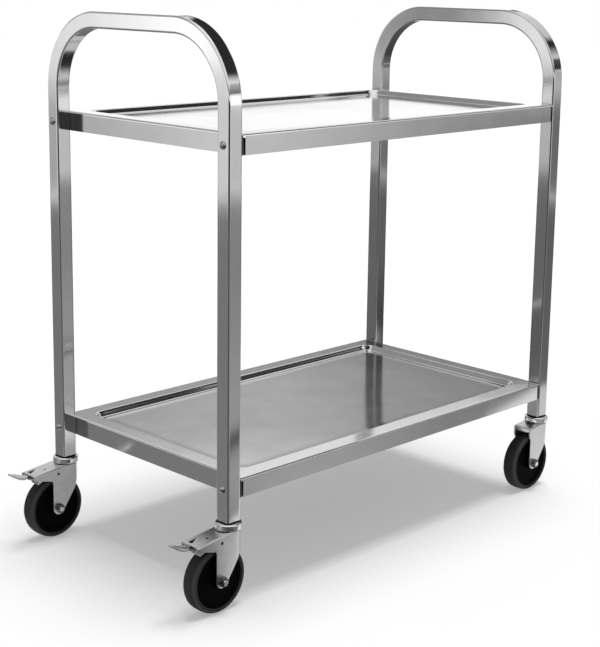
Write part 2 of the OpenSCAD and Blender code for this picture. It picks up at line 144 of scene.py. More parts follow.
# Brake pedals
PEDAL_PLATE = 2.5 * MM
PEDAL_SLOPE = math.radians(18)
PEDAL_LENGTH = 38 * MM
PEDAL_CROWN = 5 * MM
PEDAL_TRAVEL = math.radians(8)
PEDAL_RISE = 14.5 * MM
ARM_WIDTH = 18 * MM
ARM_END = 76 * MM
ARM_DROP = 0.5 * MM
ARM_BEND = 3 * MM
ARM_EDGE = 0.6 * MM
NECK_WIDTH = 12 * MM
NECK_REACH = 5 * MM
NECK_TAPER = 4 * MM
KNUCKLE_RADIUS = 4.45 * MM
SHOE_REACH = 27 * MM
SHOE_LENGTH = 14 * MM
SHOE_EASE = 1 * MM
AIR = 0.3 * MM

# Steps round turned pieces
BOLT_STEPS = 48
NUT_STEPS = 72
CUP_STEPS = 96
AXLE_STEPS = 40
PIN_STEPS = 40
DOT_STEPS = 32
CORE_STEPS = 96
TYRE_STEPS = 128

# Limits for merging, sharp edges, facing and rounding
MERGE = 0.002 * MM
SLIVER = 0.001 * MM
SNAP = 0.01 * MM
SHARP_ANGLE = math.radians(32)
SQUARE_ON = 0.9
NEARLY_HALF = 0.49


# Shader sockets and finishes

class Wire:
    """One output of a shader tree. Operators between wires and numbers add Math nodes."""

    def __init__(self, finish, socket):
        self.finish = finish
        self.socket = socket

    def _math(self, operation, left, right):
        return self.finish.node("Math", {"operation": operation}, {0: left, 1: right})

    def __add__(self, other):
        return self._math("ADD", self, other)

    def __radd__(self, other):
        return self._math("ADD", other, self)

    def __mul__(self, other):
        return self._math("MULTIPLY", self, other)

    def __rmul__(self, other):
        return self._math("MULTIPLY", other, self)

    def larger(self, other):
        return self._math("MAXIMUM", self, other)


class Finish:
    """A node tree of a material or of the world, filled by node()."""

    def __init__(self, owner):
        owner.use_nodes = True
        self.owner = owner
        self.tree = owner.node_tree
        self.tree.nodes.clear()

    def node(self, kind, settings=None, sockets=None, out=0):
        """Add a shader node of a type, set its settings first, then its sockets' values or links."""
        made = self.tree.nodes.new("ShaderNode" + kind)
        for key, value in (settings or {}).items():
            setattr(made, key, value)
        for key, value in (sockets or {}).items():
            if isinstance(value, Wire):
                self.tree.links.new(value.socket, made.inputs[key])
            else:
                made.inputs[key].default_value = value
        return Wire(self, made.outputs[out]) if made.outputs else None

    def mark(self, name, out="Fac"):
        """Attribute of the mesh."""
        return self.node("Attribute", {"attribute_name": name}, out=out)

    def noise(self, bumps, detail=2.0, roughness=0.5, stretch=(1, 1, 1)):
        """Smooth noise from 0 to 1 with a number of bumps to the metre, on stretched Object coordinates."""
        where = self.node("TexCoord", out="Object")
        place = self.node("Mapping", {}, {"Vector": where, "Scale": stretch})
        return self.node("TexNoise", {}, {
            "Vector": place, "Scale": bumps, "Detail": detail, "Roughness": roughness})

    def mix(self, factor, first, second):
        """Colour between two colours by a factor."""
        return self.node("Mix", {"data_type": "RGBA"}, {0: factor, 6: first, 7: second}, out=2)

    def tint(self, factor, tone):
        """Grey between the two ends of a tone by a factor."""
        return self.mix(factor, grey(tone[0]), grey(tone[1]))

    def bump(self, height, distance, normal=None):
        """Surface tilt of a height map whose full range is a distance in metres."""
        sockets = {"Height": height, "Distance": distance, "Strength": 1.0}
        if normal is not None:
            sockets["Normal"] = normal
        return self.node("Bump", {}, sockets)

    def surface(self, **sockets):
        """Principled shader on the output."""
        named = {key.replace("_", " "): value for key, value in sockets.items()}
        return self.ready(self.node("BsdfPrincipled", {}, named))

    def blend(self, factor, first, second):
        """Two shaders mixed by a factor on the output."""
        return self.ready(self.node("MixShader", {}, {0: factor, 1: first, 2: second}))

    def ready(self, shader):
        """Put a shader on the output."""
        self.node("OutputMaterial", {}, {"Surface": shader})
        return self.owner


def grey(value):
    """Opaque grey of one brightness."""
    return (value, value, value, 1.0)


# Bumps to the metre, heights and roughness that the finishes share
POLISH_LINES = 900.0
POLISH_DEPTH = 0.004 * MM
POLISH_PATCHES = 23.0
BACK_ROUGHNESS = 0.35
PLATING_CLOUDS = 60.0
PLATING_WAVE = 0.05 * MM
PLATING_GRAIN = 1800.0
RUBBED_PATCHES = 45.0


def polished_steel(name, tone, gloss, haze, wave, waves, drawn, back=None):
    """Polished steel: slow waves bend its reflections, hazy patches and drawn-out polishing lines dull it.
    Where the inside attribute is one, an unpolished back takes over: it is rougher, and its dark grey is
    painted shade."""
    finish = Finish(bpy.data.materials.new(name))
    slow = finish.noise(waves, 1.0)
    lines = finish.noise(POLISH_LINES, stretch=drawn)
    patches = finish.noise(POLISH_PATCHES, 4.0, 0.6)
    colour = finish.tint(patches, tone)
    roughness = gloss + haze * patches + 0.5 * haze * lines
    if back is not None:
        inside = finish.mark("inside")
        colour = finish.mix(inside, colour, grey(back))
        roughness = roughness + BACK_ROUGHNESS * inside
    return finish.surface(
        Base_Color=colour,
        Metallic=1.0,
        Roughness=roughness,
        Normal=finish.bump(lines, POLISH_DEPTH, finish.bump(slow, wave)))


def plated_steel(name, tone, gloss, haze, grain):
    """Plated pressings: a fine satin grain and cloudy patches."""
    finish = Finish(bpy.data.materials.new(name))
    clouds = finish.noise(PLATING_CLOUDS, 3.0, 0.6)
    satin = finish.noise(PLATING_GRAIN, 1.0)
    return finish.surface(
        Base_Color=finish.tint(clouds, tone),
        Metallic=1.0,
        Roughness=gloss + haze * clouds,
        Normal=finish.bump(satin, grain, finish.bump(clouds, PLATING_WAVE)))


def moulded(name, tone, gloss, haze, grain, grains, shine, edge=None):
    """Moulded plastic or rubber: a fine matt grain with slightly rubbed patches. Where the mesh's highlight
    attribute is one, a lighter tone takes over: a painted highlight."""
    finish = Finish(bpy.data.materials.new(name))
    rubbed = finish.noise(RUBBED_PATCHES, 3.0, 0.6)
    skin = finish.noise(grains)
    colour = finish.tint(rubbed, tone)
    if edge is not None:
        colour = finish.mix(finish.mark("painted_highlight"), colour, grey(edge))
    return finish.surface(
        Base_Color=colour,
        Roughness=gloss + haze * rubbed,
        Specular_IOR_Level=shine,
        Normal=finish.bump(skin, grain))


# Polishing lines run up the tubes and along the sheets, and have no direction on small pieces
UPRIGHT = (1, 1, 0.03)
LENGTHWISE = (0.03, 1, 1)
ALL_WAYS = (1, 1, 1)

# Tone, gloss, haze, wave height, waves to the metre, direction of the lines, tone of the back (painted shade)
POLISHED = {
    "polished_tube": ((0.64, 0.72), 0.05, 0.05, 0.10 * MM, 16.0, UPRIGHT),
    # Painted shade: the right frame is the same polished tube steel, toned darker to stand in for how dimly
    # it is lit
    "darker_tube": ((0.47, 0.53), 0.05, 0.05, 0.10 * MM, 16.0, UPRIGHT),
    # The sheet's back tone is painted shade on the pan's underside, its tabs and the cut edges of its aprons
    "polished_sheet": ((0.64, 0.72), 0.07, 0.06, 0.35 * MM, 7.0, LENGTHWISE, 0.14),
    "bolts": ((0.62, 0.72), 0.06, 0.06, 0.02 * MM, 60.0, ALL_WAYS),
    # Painted reflection: the shelf bolts are the same steel as the other bolts, toned darker to stand in for
    # the dark reflections in their domes
    "bolt_heads": ((0.32, 0.40), 0.06, 0.06, 0.02 * MM, 60.0, ALL_WAYS),
    "axle_nuts": ((0.10, 0.16), 0.10, 0.06, 0.02 * MM, 60.0, ALL_WAYS),
    "bright_plating": ((0.66, 0.76), 0.05, 0.06, 0.03 * MM, 50.0, ALL_WAYS),
}

# Tone, gloss, haze, grain height
PLATED = {
    "zinc_plating": ((0.50, 0.62), 0.24, 0.10, 0.010 * MM),
    "inner_steel": ((0.34, 0.46), 0.34, 0.12, 0.020 * MM),
    # Painted shade: the pedal's pin is near black so that the hole it fills in the fork looks shadowed
    "dark_pin": ((0.02, 0.04), 0.40, 0.12, 0.010 * MM),
}

# Tone, gloss, haze, grain height, grains to the metre, shine, tone of the painted highlight
MOULDED = {
    "black_plastic": ((0.006, 0.010), 0.38, 0.10, 0.02 * MM, 900.0, 0.3),
    "wheel_plastic": ((0.001, 0.003), 0.45, 0.12, 0.03 * MM, 700.0, 0.02),
    "tyre_rubber": ((0.020, 0.032), 0.60, 0.12, 0.04 * MM, 1100.0, 0.2, 0.06),
}

FINISHES = {}
for maker, looks in ((polished_steel, POLISHED), (plated_steel, PLATED), (moulded, MOULDED)):
    for name, look in looks.items():
        FINISHES[name] = maker(name, *look)


# Meshes

def joined(*parts):
    """Arrays joined end to end."""
    return np.concatenate(parts)


def points_of(*axes):
    """Points whose coordinates are arrays that broadcast together."""
    return np.stack(np.broadcast_arrays(*axes), axis=-1)


def quarter(steps):
    """Angles of a quarter turn."""
    return np.linspace(0, np.pi / 2, steps)


def middle(low, high):
    """Middle of a box."""
    return np.array([(start + end) / 2 for start, end in zip(low, high)])


def grid_faces(grid, start, wrap):
    """Faces of a grid stored row by row: each joins two columns of two rows, and wrap joins the last column
    to the first."""
    rows, columns = grid.shape[:2]
    row = np.arange(rows - 1)[:, None] * columns
    left = np.arange(columns if wrap else columns - 1)[None, :]
    right = (left + 1) % columns
    corners = [row + left, row + right, row + right + columns, row + left + columns]
    return np.stack(corners, axis=-1).reshape(-1, 4) + start


def mesh_of(name, grids, open_sheet=False):
    """One mesh from grids of points, each (points, wrap): equal points are merged, and faces are turned
    outwards, or upwards for an open sheet."""
    points = joined(*[grid.reshape(-1, 3) for grid, _ in grids])
    sizes = [grid.shape[0] * grid.shape[1] for grid, _ in grids]
    starts = joined([0], np.cumsum(sizes)[:-1])
    faces = joined(*[grid_faces(grid, start, wrap) for (grid, wrap), start in zip(grids, starts)])
    mesh = bpy.data.meshes.new(name)
    mesh.from_pydata(points, [], faces)
    work = bmesh.new()
    work.from_mesh(mesh)
    bmesh.ops.remove_doubles(work, verts=work.verts, dist=MERGE)
    bmesh.ops.dissolve_degenerate(work, edges=work.edges, dist=SLIVER)
    bmesh.ops.recalc_face_normals(work, faces=work.faces)
    if open_sheet and sum(face.normal.z * face.calc_area() for face in work.faces) < 0:
        bmesh.ops.reverse_faces(work, faces=work.faces)
    work.to_mesh(mesh)
    work.free()
    shade(mesh)
    return mesh


def shade(mesh):
    """Smooth shading that stops at sharp edges."""
    mesh.shade_smooth()
    mesh.set_sharp_from_angle(angle=SHARP_ANGLE)


def placed(name, data):
    """New object in the scene."""
    made = bpy.data.objects.new(name, data)
    bpy.context.scene.collection.objects.link(made)
    return made


def piece(name, grids, body, slot, node, look=None, open_sheet=False):
    """Object of grids that rides on a body, takes a slot's finish or another look and stands for a node."""
    made = placed(name, mesh_of(name, grids, open_sheet))
    made.data.materials.append(FINISHES[look or slot])
    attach(made, body)
    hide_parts(node)
    return made


def thicken(made, thickness):
    """Give an open sheet its thickness, inwards from its outer face."""
    wall = made.modifiers.new("wall", "SOLIDIFY")
    wall.thickness = thickness
    wall.offset = -1
    wall.use_even_offset = True


def settle(made):
    """Apply an object's modifiers to its mesh."""
    bpy.context.view_layer.update()
    ready = made.evaluated_get(bpy.context.evaluated_depsgraph_get())
    mesh = bpy.data.meshes.new_from_object(ready)
    made.modifiers.clear()
    made.data = mesh
    shade(mesh)


def store(mesh, name, domain, values):
    """Store one number for each point or face of a mesh as an attribute."""
    numbers = np.ravel(values).astype(np.float32)
    mesh.attributes.new(name, "FLOAT", domain).data.foreach_set("value", numbers)


def fetch(items, name):
    """Three numbers of each point or face of a mesh, as rows."""
    rows = np.zeros((len(items), 3))
    items.foreach_get(name, rows.ravel())
    return rows


def circle(axis, steps):
    """Angles round an axis, unit directions at them and the axis as an array."""
    along = np.asarray(axis, float)
    side = np.roll(along, 1)
    other = np.cross(along, side)
    angle = np.linspace(0, 2 * np.pi, steps, endpoint=False)
    return angle, np.cos(angle)[:, None] * side + np.sin(angle)[:, None] * other, along


def turned(profile, centre, axis, steps):
    """(radius, height) points turned once round an axis: each runs a circle of its radius at its height."""
    profile = np.asarray(profile, float)
    _, ring, along = circle(axis, steps)
    return (np.asarray(centre) + profile[:, :1, None] * ring + profile[:, 1:2, None] * along, True)


def swept(path, across, up, profile):
    """Profile of (a, b) points carried along a path: at each of its points, a runs across and b up."""
    profile = np.broadcast_to(profile, (len(path),) + np.shape(profile)[-2:])
    across, up = (np.atleast_2d(way)[:, None] for way in (across, up))
    return path[:, None] + profile[..., :1] * across + profile[..., 1:] * up


def eased(points, radius, steps=6):
    """Polyline with its inner corners rounded: each corner becomes a curve between points a radius before and
    after it, or just under half a side where that is less."""
    points = np.asarray(points, float)
    corner = points[1:-1]
    back = points[:-2] - corner
    ahead = points[2:] - corner
    back_length = np.linalg.norm(back, axis=1, keepdims=True)
    ahead_length = np.linalg.norm(ahead, axis=1, keepdims=True)
    reach = np.minimum(np.minimum(back_length, ahead_length) * NEARLY_HALF, radius)
    first = (corner + back / back_length * reach)[:, None]
    last = (corner + ahead / ahead_length * reach)[:, None]
    share = np.linspace(0, 1, steps)[None, :, None]
    curve = (1 - share) ** 2 * first + 2 * share * (1 - share) * corner[:, None] + share ** 2 * last
    return joined(points[:1], curve.reshape(-1, points.shape[1]), points[-1:])


def rounded_loops(half_x, half_y, radius, shares, arc):
    """Rounded rectangles, one a row: four quarter circles joined by straight sides that are cut at given
    shares."""
    half_x, half_y, radius = points_of(np.atleast_1d(half_x), half_y, radius).T[..., None]
    turn = quarter(arc)[None]
    corners = []
    for number, (x, y) in enumerate(((1, -1), (1, 1), (-1, 1), (-1, -1))):
        angle = turn + (number - 1) * np.pi / 2
        corners.append(points_of(x * (half_x - radius) + radius * np.cos(angle),
                                 y * (half_y - radius) + radius * np.sin(angle)))
    share = np.asarray(shares, float)[None, :, None]
    parts = []
    for number, corner in enumerate(corners):
        ahead = corners[(number + 1) % 4]
        parts += [corner, corner[:, -1:] * (1 - share) + ahead[:, :1] * share]
    return np.hstack(parts)


def hexagon(flats, height, base, axis, bore):
    """Hexagon nut on an axis: a six-sided wall, a cone that cuts its outer corners in arcs, and a round bore
    with a lip, or no bore for a bolt's head."""
    angle, ring, along = circle(axis, NUT_STEPS)
    half = flats / 2
    face = half * NUT_FACE
    chamfer = BORE_LIP if bore else 0
    wall = half / np.cos((angle + np.pi / 6) % (np.pi / 3) - np.pi / 6)
    arcs = height - (wall - face) * math.tan(NUT_CHAMFER)
    radii = points_of(bore, wall, wall, face, bore + chamfer, bore, bore).T
    heights = points_of(0, 0, arcs, height, height, height - chamfer, 0).T
    return (np.asarray(base) + radii[..., None] * ring + heights[..., None] * along, True)


def prism(outline, axis, start, length):
    """Closed prism: an outline of points carried along an axis from its start, with both ends closed on their
    middle."""
    outline = np.asarray(outline, float)
    shift = np.asarray(axis, float)
    core = np.broadcast_to(outline.mean(axis=0), outline.shape)
    near = shift * start
    far = shift * (start + length)
    return (np.stack([core + near, outline + near, outline + far, core + far]), True)


def cut(made, grids):
    """Cut closed shapes out of a piece."""
    knife = placed("knife", mesh_of("knife", grids))
    hole = made.modifiers.new("hole", "BOOLEAN")
    hole.operation = "DIFFERENCE"
    hole.solver = "EXACT"
    hole.object = knife
    settle(made)
    bpy.data.objects.remove(knife)


# End frames

def end_tube(centre_x, half_y, bottom, top, size):
    """Square tube with rounded corners carried up one leg, round two quarter bends and down the other leg,
    and back inside itself one wall in."""
    bend_z = top - size / 2 - BEND_RADIUS
    bend_y = half_y - BEND_RADIUS
    turn = quarter(41)
    leg = np.linspace(bottom, bend_z, 13)[:-1]
    y = joined(np.full(len(leg), half_y), bend_y + BEND_RADIUS * np.cos(turn))
    z = joined(leg, bend_z + BEND_RADIUS * np.sin(turn))
    lean = joined(np.zeros(len(leg)), turn)
    y = joined(y, -y[::-1])
    z = joined(z, z[::-1])
    lean = joined(lean, np.pi - lean[::-1])
    path = points_of(centre_x, y, z)
    outwards = points_of(0.0, np.cos(lean), np.sin(lean))
    along_cart = (1.0, 0.0, 0.0)
    inside = size / 2 - TUBE_WALL
    outer = rounded_loops(size / 2, size / 2, TUBE_CORNER, FLAT_EDGES, 9)[0]
    inner = rounded_loops(inside, inside, TUBE_CORNER - TUBE_WALL, FLAT_EDGES, 9)[0]
    skin = swept(path, outwards, along_cart, outer)
    lining = swept(path, outwards, along_cart, inner)
    return (joined(skin, lining[::-1], skin[:1]), True)


# The right frame takes the darker copy of the tube finish as painted shade
for side, look in (("left", "polished_tube"), ("right", "darker_tube")):
    low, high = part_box(side + "_end_frame")
    tube = high.x - low.x
    rings = end_tube(middle(low, high)[0], high.y - tube / 2, low.z, high.z, tube)
    piece(side + "_tube", [rings], CART, "polished_tube", side + "_end_frame", look)


# Shelves

def pan(low, high, fall):
    """Pressed pan as nested rounded rectangles: the fold, the rim, which falls by a length along the front, a
    step of half a cosine wave and the floor, a shallow dish that sags as a cosine each way and closes on a
    line. Aprons hang from the fold, the long ones cut back and notched at their ends, with a tab folded
    inwards there."""
    centre = np.array([*middle(low, high)[:2], high.z])
    half_x = (high.x - low.x) / 2
    half_y = (high.y - low.y) / 2
    notch = (CORNER_GAP + NOTCH) / (2 * half_x)
    shares = joined([notch], np.linspace(0.04, 0.96, 24), [1 - notch])
    arc = 9
    bend = quarter(7)
    flat_rim = [FOLD + HOLD_LINE, (FOLD + RIM) / 2, RIM - HOLD_LINE]
    step = np.linspace(0, 1, 25)
    floor = RIM + 2 * STEP
    floor_rows = np.linspace(floor, half_y, 9)[1:]
    inset = joined(FOLD * (1 - np.cos(bend)), flat_rim, RIM + 2 * STEP * step, floor_rows)
    drop = joined(FOLD * (1 - np.sin(bend)), np.zeros(len(flat_rim)),
                  RECESS * (1 - np.cos(np.pi * step)) / 2, np.full(len(floor_rows), RECESS))
    corner = np.interp(inset, [FOLD, RIM, floor, half_y],
                       [0, RECESS_CORNER + STEP, RECESS_CORNER - STEP, 0])
    flat = rounded_loops(half_x - inset, half_y - inset, corner, shares, arc)
    front = np.clip((RIM - half_y - flat[..., 1]) / (RIM - FOLD), 0, 1)
    across = np.clip(flat / [half_x - floor, half_y - floor], -1, 1)
    sag = FLOOR_SAG * np.prod(np.cos(across * np.pi / 2), axis=2)
    depth = -drop[:, None] - fall * front - sag
    top = centre + points_of(flat[..., 0], flat[..., 1], depth)
    grids = [(top, True)]
    block = arc + len(shares)
    hang = high.z - low.z - FOLD
    ledge = SHEET / hang
    tip = (SHEET + NOTCH) / hang
    widen = (half_x - CORNER_GAP) / (half_x - CORNER_GAP - NOTCH)
    for number in range(4):
        places = np.arange(number * block + arc - 1, (number + 1) * block + 1)
        run = np.take(top[0], places, axis=0, mode="wrap")
        if number % 2 == 0:
            grids.append((hung(run, low.z, [0, ledge, 0.5, 1]), False))
            continue
        grids.append((hung(run, low.z, [0, ledge]), False))
        strip = hung(run[1:-1], low.z, joined([ledge], np.linspace(tip, 1, 4)))
        strip[1:, :, 0] = centre[0] + (strip[1:, :, 0] - centre[0]) * widen
        grids.append((strip, False))
        inwards = np.array([0, (number - 2) * END_TAB, 0])
        for end in (0, -1):
            fold = strip[1:, end]
            grids.append((np.stack([fold, fold + inwards / 2, fold + inwards], axis=1), False))
    return grids


def hung(run, bottom, shares):
    """Strip under a line of points: copies of the line at given shares of the way down to a bottom height."""
    shares = np.asarray(shares, float)[:, None]
    strip = np.repeat(run[None], len(shares), axis=0)
    strip[..., 2] = run[:, 2] * (1 - shares) + bottom * shares
    return strip


def painted_shade_faces(mesh, low, high, outer_faces):
    """One for the faces of a pan that take its rough, unpolished back, else zero: its back, the tabs and the
    cut edges at the ends of the long aprons. Their dark back colour is painted shade."""
    number = np.arange(len(mesh.polygons))
    facing = np.abs(fetch(mesh.polygons, "normal"))
    place = fetch(mesh.polygons, "center")
    from_end = (high.x - low.x) / 2 - np.abs(place - middle(low, high))[:, 0]
    under_fold = place[:, 2] < high.z - FOLD - 2 * SHEET
    back = number // outer_faces == 1
    tabs = (facing[:, 0] > SQUARE_ON) & (from_end > 2 * SHEET)
    edges = (facing[:, 1] > SQUARE_ON) & (from_end < CORNER_GAP) & under_fold
    return back | tabs | edges


for shelf in SHELVES:
    low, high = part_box(shelf + "_shelf")
    sheet = pan(low, high, FRONT_FALL[shelf])
    made = piece(shelf + "_pan", sheet, CART, "polished_sheet", shelf + "_shelf", open_sheet=True)
    outer_faces = len(made.data.polygons)
    thicken(made, SHEET)
    settle(made)
    # Painted shade: these faces take the sheet's dark back colour
    store(made.data, "inside", "FACE", painted_shade_faces(made.data, low, high, outer_faces))


# Shelf bolts and nuts

def bolt_profile(length):
    """Domed bolt as (radius, height) points: a cap of a sphere with a short straight edge, and a shank."""
    sphere = (BOLT_HEAD ** 2 + BOLT_DOME ** 2) / (2 * BOLT_DOME)
    lift = np.linspace(0, 1, 9)[::-1] * (BOLT_DOME - HEAD_EDGE) + HEAD_EDGE
    cap = np.sqrt(np.maximum(sphere ** 2 - (lift + sphere - BOLT_DOME) ** 2, 0))
    stem = [(BOLT_HEAD, HEAD_EDGE), (BOLT_HEAD, 0), (BOLT_SHANK, 0), (BOLT_SHANK, -length + THREAD_CHAMFER),
            (BOLT_SHANK - THREAD_CHAMFER, -length), (0, -length)]
    return joined(points_of(cap, lift), stem)


for shelf in SHELVES:
    low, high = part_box(shelf + "_shelf_bolts")
    nut_low, nut_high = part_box(shelf + "_shelf_nuts")
    _, middle_y, height = middle(low, high)
    reach_y = (nut_high.y - nut_low.y) / 2 - NUT_FLATS / 2
    bolts = []
    nuts = []
    for end, outside, seat in ((1, high.x, nut_high.x), (-1, low.x, nut_low.x)):
        face = outside - end * BOLT_DOME
        profile = bolt_profile(abs(face - seat) + NUT_HEIGHT + BOLT_END)
        for y in (middle_y - reach_y, middle_y + reach_y):
            bolts.append(turned(profile, (face, y, height), (end, 0, 0), BOLT_STEPS))
            nuts.append(hexagon(NUT_FLATS, NUT_HEIGHT, (seat, y, height), (-end, 0, 0), BOLT_SHANK))
    # The domed shelf bolts take the darker copy of the bolt finish as painted reflection
    piece(shelf + "_bolts", bolts, CART, "bolts", shelf + "_shelf_bolts", "bolt_heads")
    piece(shelf + "_nuts", nuts, CART, "inner_steel", shelf + "_shelf_nuts")


# Casters

def leg_plug(low, high, flange_top):
    """Square plug as a stack of rounded squares: a flange with eased edges and a narrower body above it."""
    half = (high.x - low.x) / 2
    body = half - TUBE_WALL - PLUG_GAP
    halves, heights = np.array([
        (0, low.z), (half - PLUG_EASE, low.z), (half, low.z + PLUG_EASE), (half, flange_top - PLUG_EASE),
        (half - PLUG_EASE, flange_top), (body, flange_top), (body, high.z - PLUG_LEAD),
        (body - PLUG_LEAD, high.z), (0, high.z)]).T
    flat = rounded_loops(halves, halves, np.minimum(TUBE_CORNER, halves), [], 7)
    centre = middle(low, high) * [1, 1, 0]
    return [(centre + points_of(flat[..., 0], flat[..., 1], heights[:, None]), True)]


def swivel_cup(low, high):
    """Round cup turned about the swivel axis: a short skirt, a rounded shoulder and a nearly flat top."""
    radius = (high.x - low.x) / 2
    height = high.z - low.z
    turn = quarter(9)
    shoulder = points_of(radius - CUP_EDGE + CUP_EDGE * np.cos(turn),
                         height - CUP_EDGE + CUP_EDGE * np.sin(turn))
    skirt = [(STEM_RADIUS, CUP_HOLLOW), (radius - CUP_WALL, CUP_HOLLOW), (radius - CUP_FOOT, 0),
             (radius - CUP_LIP, 0), (radius, CUP_LIP)]
    profile = joined(skirt, shoulder, [(STEM_RADIUS, height), (STEM_RADIUS, CUP_HOLLOW)])
    return [turned(profile, (*middle(low, high)[:2], low.z), (0, 0, 1), CUP_STEPS)]


def fork_plate(stem, tail, half, top, axle_z, drop, braked):
    """Pressed fork: from the spine of its top plate over a rounded bend and down the cheeks, round a hooded
    front. The cheeks' lower edge follows the side view: tail, hollow crook, the leg round the axle, shin and
    lip. Columns stand at the edge's x, and lean turns them round the hood."""
    crook_x = -TRAIL - FORK_END - CROOK_RADIUS
    crook_z = axle_z + CROOK_HEIGHT
    knee = np.array([half - KNEE[0], axle_z + KNEE[1]])
    shin = np.array([half - SHIN[0], axle_z + SHIN[1]])
    run = knee - [-TRAIL, axle_z]
    touch = math.atan2(run[1], run[0]) - math.acos(FORK_END / np.hypot(*run))
    cross = knee[0] + (shin[0] - knee[0]) * (crook_z - knee[1]) / (shin[1] - knee[1])
    first = 0 if braked else math.asin((crook_x + tail) / -CROOK_RADIUS)
    hollow = np.linspace(first, np.pi / 2, 9)
    round_end = np.linspace(np.pi + FORK_END_START, 2 * np.pi + touch, 19)
    corners = np.arcsin([knee[0] / half, cross / half, shin[0] / half])
    front = np.unique(joined(quarter(19), corners))

    # Columns from the tail to the front, with the height of the edge at each
    tail_x = np.linspace(-tail, crook_x, 8)[:-1] if braked else np.zeros(0)
    hollow_x = crook_x + CROOK_RADIUS * np.sin(hollow)
    leg_x = -TRAIL + FORK_END * np.cos(round_end)
    shank_x = np.unique(joined(np.linspace(leg_x[-1], 0, 6)[1:-1], [-SLOPE_START]))
    x = joined(tail_x, hollow_x, leg_x, shank_x, half * np.sin(front))
    lean = joined(np.zeros(len(x) - len(front)), front)
    behind = len(tail_x) + len(hollow_x)
    tail_z = np.interp(tail_x, [-tail, crook_x], [top - drop - TAIL_EDGE, crook_z + CROOK_RADIUS])
    hollow_z = crook_z + CROOK_RADIUS * np.cos(hollow)
    leg_z = axle_z + FORK_END * np.sin(round_end)
    front_z = np.interp(x, [leg_x[-1], knee[0], shin[0], half],
                        [axle_z + FORK_END * math.sin(touch), knee[1], shin[1], axle_z + LIP_HEIGHT])
    lower = joined(tail_z, hollow_z, leg_z, front_z[behind + len(leg_x):])
    upper = np.where(x > -TRAIL - FORK_END - SNAP, np.maximum(lower, crook_z), lower)
    start = behind - 1
    stop = int(np.argmin(np.abs(x - cross))) + 1
    lower[start] = axle_z

    # Rows over the top plate and round the bend, down to the crook, and down the legs
    crest = top - drop * np.clip((-x - SLOPE_START) / (tail - SLOPE_START), 0, 1)
    bend = quarter(8)[1:]
    flat = (half - FORK_BEND) * np.array([0, 0.5, 0.95, 1])
    reach = joined(flat, half - FORK_BEND + FORK_BEND * np.sin(bend))
    sunk = joined(np.zeros(len(flat)), FORK_BEND * (1 - np.cos(bend)))
    cheek = np.array([0.05, 0.35, 0.65, 1])[:, None]
    leg = np.linspace(0, 1, 7)[:, None]
    cheek_z = (crest - FORK_BEND) * (1 - cheek) + upper * cheek
    leg_rows_z = upper * (1 - leg) + lower * leg

    def spread(way, out, level):
        """Points that far out from the spine on one side, at the given levels."""
        return points_of(stem[0] + np.minimum(x, 0) + out * np.sin(lean),
                         stem[1] + way * out * np.cos(lean), level)

    grids = []
    for way in (-1, 1):
        shell = spread(way, reach[:, None], crest - sunk[:, None])
        walls = spread(way, half, cheek_z)
        legs = spread(way, half, leg_rows_z)
        grids += [(joined(shell, walls), False), (legs[:, start:stop], False)]
    return grids


def axle_bolt(centre, half, reach, flats):
    """Axle bolt along Y: a six-sided head at the back and a chamfered thread past the nut at the front."""
    end = half + reach
    shank = [(0, -half), (AXLE_RADIUS, -half), (AXLE_RADIUS, end - THREAD_CHAMFER),
             (AXLE_RADIUS - THREAD_CHAMFER, end), (0, end)]
    head = hexagon(flats, reach, (centre[0], centre[1] + half, centre[2]), (0, 1, 0), 0)
    return [turned(shank, centre, (0, -1, 0), AXLE_STEPS), head]


def tyre(centre, radius, half):
    """Tyre turned about the axle: a slightly crowned tread, round shoulders and a raised band each side."""
    turn = quarter(10)
    inner = radius - TYRE_DEPTH
    shoulder_r = radius - TYRE_SHOULDER
    shoulder_y = half - TYRE_SHOULDER
    arch = points_of(shoulder_r + (TYRE_SHOULDER - TREAD_CROWN) * np.sin(turn),
                     shoulder_y + TYRE_SHOULDER * np.cos(turn))
    band = np.array(TYRE_BAND) + (inner, half)
    tread = (radius - TREAD_CROWN / 5, shoulder_y / 2)
    side = joined(band, [(shoulder_r - BAND_GAP, half)], arch, [tread])
    profile = joined(side, [(radius, 0)], side[::-1] * [1, -1], side[:1])
    return [turned(profile, centre, (0, -1, 0), TYRE_STEPS)]


def painted_shoulder_highlight(mesh, centre, radius, half):
    """Share of painted highlight at each point of a tyre: the squared sine of twice its angle round the
    shoulder, which is one midway between tread and side and zero on both."""
    along, across, up = np.abs(fetch(mesh.vertices, "co") - centre).T
    out = np.hypot(along, up) - radius + TYRE_SHOULDER
    angle = np.arctan2(across - half + TYRE_SHOULDER, out)
    return np.clip(np.sin(2 * angle), 0, 1) ** 2


def wheel_core(centre, radius, half, hub):
    """Plastic core turned about the axle: a rim, a slightly dished web and a hub on each side."""
    bore = SLEEVE_RADIUS + SLEEVE_GAP
    web = half - WEB_DEPTH
    side = np.array([
        (bore, hub - BORE_EASE), (bore + BORE_EASE, hub), (HUB_RADIUS - HUB_EASE, hub),
        (HUB_RADIUS, hub - HUB_EASE), (HUB_RADIUS, half - CORE_EASE), (HUB_RADIUS + WEB_FOOT, web),
        (radius - CORE_RIM - WEB_RISE, web), (radius - CORE_RIM, half), (radius - CORE_EASE, half),
        (radius, half - CORE_EASE)])
    profile = joined(side, side[::-1] * [1, -1], side[:1])
    return [turned(profile, centre, (0, -1, 0), CORE_STEPS)]


